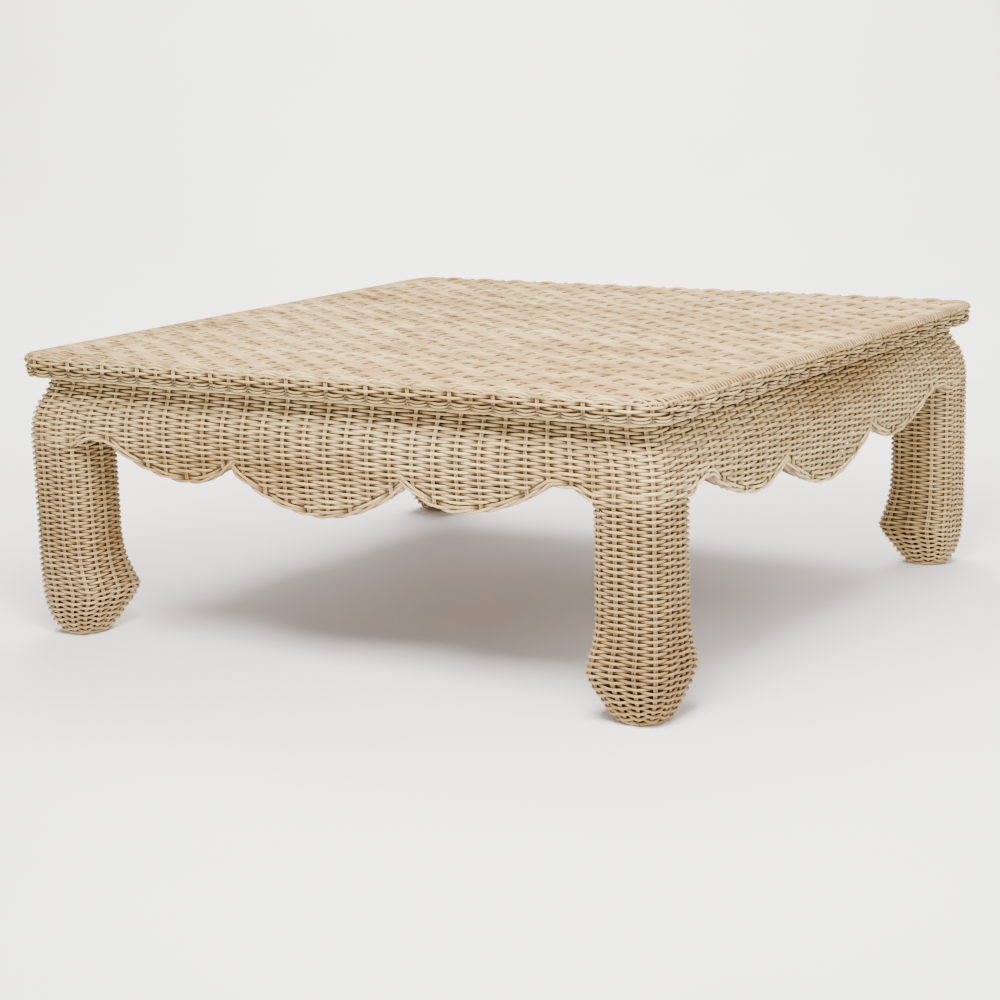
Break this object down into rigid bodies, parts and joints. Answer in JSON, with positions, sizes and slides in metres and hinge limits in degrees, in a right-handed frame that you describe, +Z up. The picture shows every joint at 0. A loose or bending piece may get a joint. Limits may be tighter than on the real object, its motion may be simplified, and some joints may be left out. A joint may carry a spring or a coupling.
{
  "type": "wicker coffee table",
  "caption": "Low square coffee table in woven cane, with scalloped aprons and hoof-footed legs over a timber frame.",
  "frame": {"origin": "on the floor, under the middle of the top", "axes": "+Z up, +X along the front side towards the front right leg, +Y from the front side to the back side"},
  "size_m": [1.067, 1.067, 0.42],
  "materials": {
    "cane_top": "pale natural round cane, satin",
    "cane_side": "pale natural round cane, satin",
    "cane_leg": "pale natural round cane, satin",
    "cane_rim": "natural cane pole, satin",
    "hardwood": "sawn hardwood, oiled",
    "plywood": "sanded plywood",
    "nylon": "dark brown moulded nylon",
    "zinc": "zinc-plated steel"
  },
  "bodies": {
    "root": {"top_weave": "cane_top", "top_board": "plywood", "batten_left": "hardwood", "batten_right": "hardwood", "batten_screw_1": "zinc", "batten_screw_2": "zinc", "batten_screw_3": "zinc", "batten_screw_4": "zinc", "batten_screw_5": "zinc", "batten_screw_6": "zinc", "edge_weave_front": "cane_side", "rail_front": "hardwood", "apron_weave_front": "cane_side", "apron_board_front": "plywood", "apron_rim_front": "cane_rim", "edge_weave_right": "cane_side", "rail_right": "hardwood", "apron_weave_right": "cane_side", "apron_board_right": "plywood", "apron_rim_right": "cane_rim", "edge_weave_back": "cane_side", "rail_back": "hardwood", "apron_weave_back": "cane_side", "apron_board_back": "plywood", "apron_rim_back": "cane_rim", "edge_weave_left": "cane_side", "rail_left": "hardwood", "apron_weave_left": "cane_side", "apron_board_left": "plywood", "apron_rim_left": "cane_rim", "corner_block_back_right": "hardwood", "corner_bolt_back_right": "zinc", "leg_core_back_right": "hardwood", "leg_weave_back_right": "cane_leg", "foot_glide_back_right": "nylon", "corner_block_back_left": "hardwood", "corner_bolt_back_left": "zinc", "leg_core_back_left": "hardwood", "leg_weave_back_left": "cane_leg", "foot_glide_back_left": "nylon", "corner_block_front_left": "hardwood", "corner_bolt_front_left": "zinc", "leg_core_front_left": "hardwood", "leg_weave_front_left": "cane_leg", "foot_glide_front_left": "nylon", "corner_block_front_right": "hardwood", "corner_bolt_front_right": "zinc", "leg_core_front_right": "hardwood", "leg_weave_front_right": "cane_leg", "foot_glide_front_right": "nylon"}
  },
  "joints": []
}
